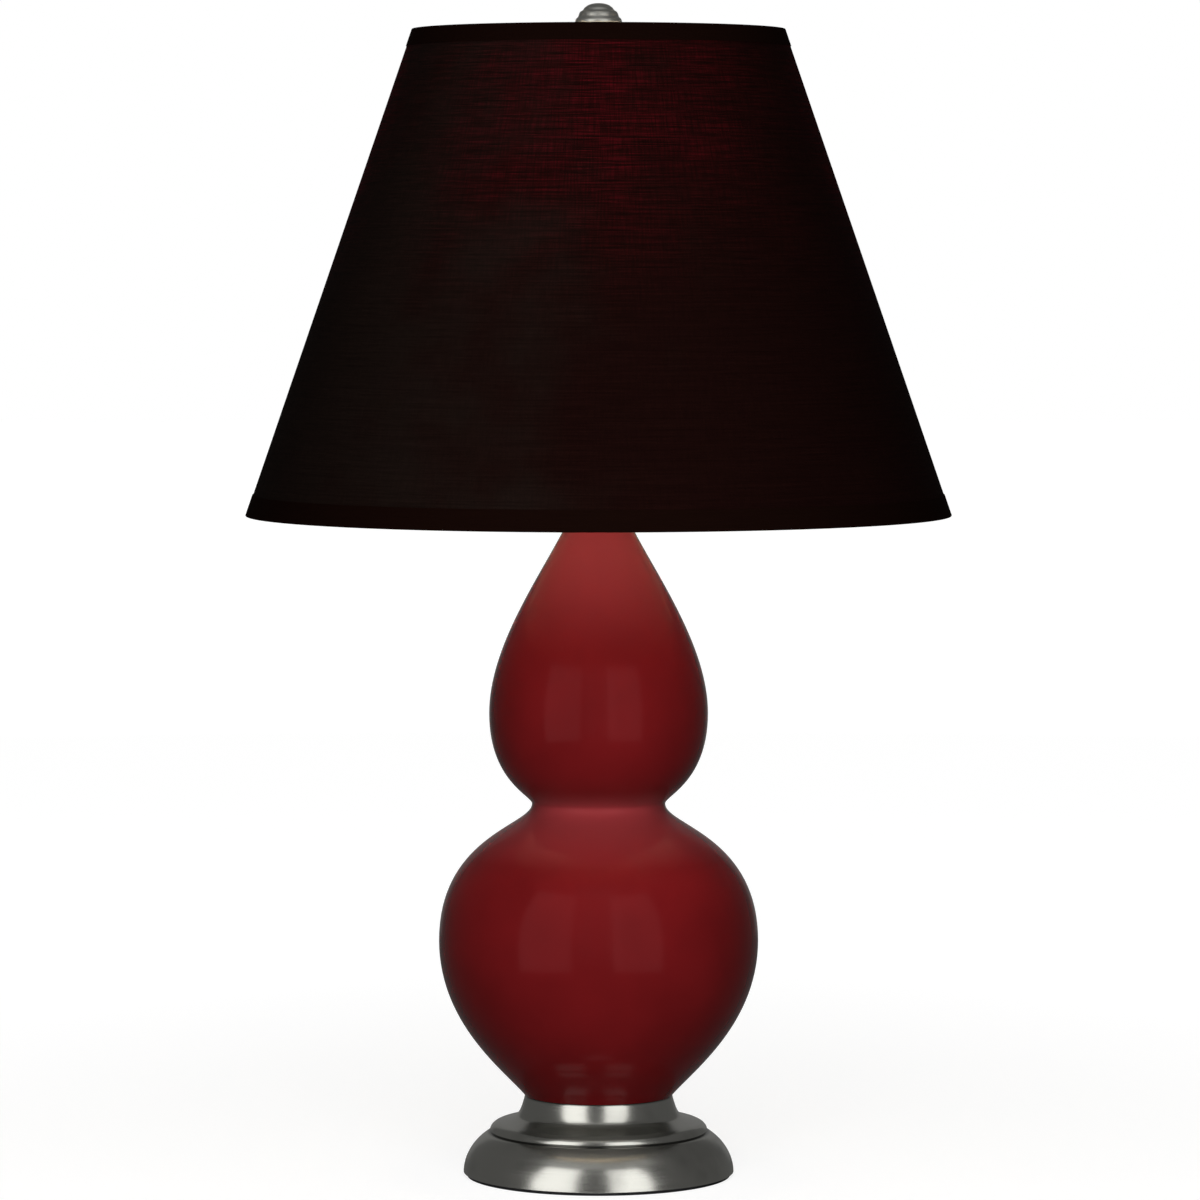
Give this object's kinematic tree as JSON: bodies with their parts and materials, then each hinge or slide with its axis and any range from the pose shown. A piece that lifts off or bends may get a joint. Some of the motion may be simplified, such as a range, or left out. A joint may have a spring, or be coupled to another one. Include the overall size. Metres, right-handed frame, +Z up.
{
  "type": "table lamp",
  "caption": "Table lamp with a glossy double-gourd ceramic body on a turned metal base, under a straight-sided conical fabric shade carried by a harp and finial.",
  "frame": {"origin": "middle of the underside, on the table", "axes": "+Z up along the lamp's turning axis, -Y towards the picture's viewer, +X to the viewer's right"},
  "size_m": [0.3472, 0.3472, 0.578],
  "materials": {
    "antique_silver": "satin, darkened in the grooves",
    "felt": "dense felt",
    "raw_iron": "rough cast",
    "zinc_steel": "zinc plated",
    "black_plastic": "moulded",
    "oxblood_glaze": "high gloss",
    "satin_nickel": "satin",
    "black_phenolic": "moulded, slightly glossy",
    "yellow_brass": "plain",
    "bulb_aluminium": "bright",
    "frosted_glass": "frosted",
    "shade_fabric": "slubbed weave on a stiff backing",
    "trim_fabric": "flat bias tape",
    "shade_wire": "plated wire"
  },
  "bodies": {
    "stand": {"base_shell": "antique_silver", "felt_pad": "felt", "base_weight": "raw_iron", "base_washer": "zinc_steel", "base_nut": "zinc_steel", "cord_bushing": "black_plastic", "center_pipe": "zinc_steel", "gourd_body": "oxblood_glaze", "vase_cap": "satin_nickel", "neck_spacer": "satin_nickel", "harp_saddle": "satin_nickel", "harp": "satin_nickel", "socket_cap": "satin_nickel", "socket_shell": "satin_nickel", "socket_core": "black_phenolic", "screw_shell": "yellow_brass", "centre_contact": "yellow_brass", "terminal_screws": "yellow_brass"},
    "sleeve_left": {"harp_sleeve_left": "satin_nickel"},
    "sleeve_right": {"harp_sleeve_right": "satin_nickel"},
    "switch": {"switch_stem": "yellow_brass", "switch_knob": "black_phenolic"},
    "bulb": {"bulb_cap": "bulb_aluminium", "bulb_glass": "frosted_glass"},
    "swivel": {"harp_stud": "satin_nickel"},
    "shade": {"shade_panel": "shade_fabric", "shade_top_trim": "trim_fabric", "shade_bottom_trim": "trim_fabric", "shade_bottom_ring": "shade_wire", "shade_spider": "shade_wire"},
    "finial": {"finial": "antique_silver"}
  },
  "joints": [
    {"name": "switch_turn", "type": "hinge", "parent": "stand", "child": "switch", "pos_m": [0, -0.02, 0.3676], "axis": [0, -1, 0], "continuous": true},
    {"name": "bulb_turn", "type": "hinge", "parent": "stand", "child": "bulb", "pos_m": [0, 0, 0.3768], "axis": [0, 0, 1], "continuous": true},
    {"name": "sleeve_left_slide", "type": "slide", "parent": "stand", "child": "sleeve_left", "axis": [0, 0, 1], "range_m": [0, 0.014]},
    {"name": "sleeve_right_slide", "type": "slide", "parent": "stand", "child": "sleeve_right", "axis": [0, 0, 1], "range_m": [0, 0.014]},
    {"name": "shade_swivel", "type": "hinge", "parent": "stand", "child": "swivel", "pos_m": [0, 0, 0.5486], "axis": [0, 0, 1], "continuous": true},
    {"name": "shade_lift", "type": "slide", "parent": "swivel", "child": "shade", "axis": [0, 0, 1], "range_m": [0, 0.24]},
    {"name": "finial_turn", "type": "hinge", "parent": "shade", "child": "finial", "pos_m": [0, 0, 0.5506], "axis": [0, 0, 1], "continuous": true}
  ]
}
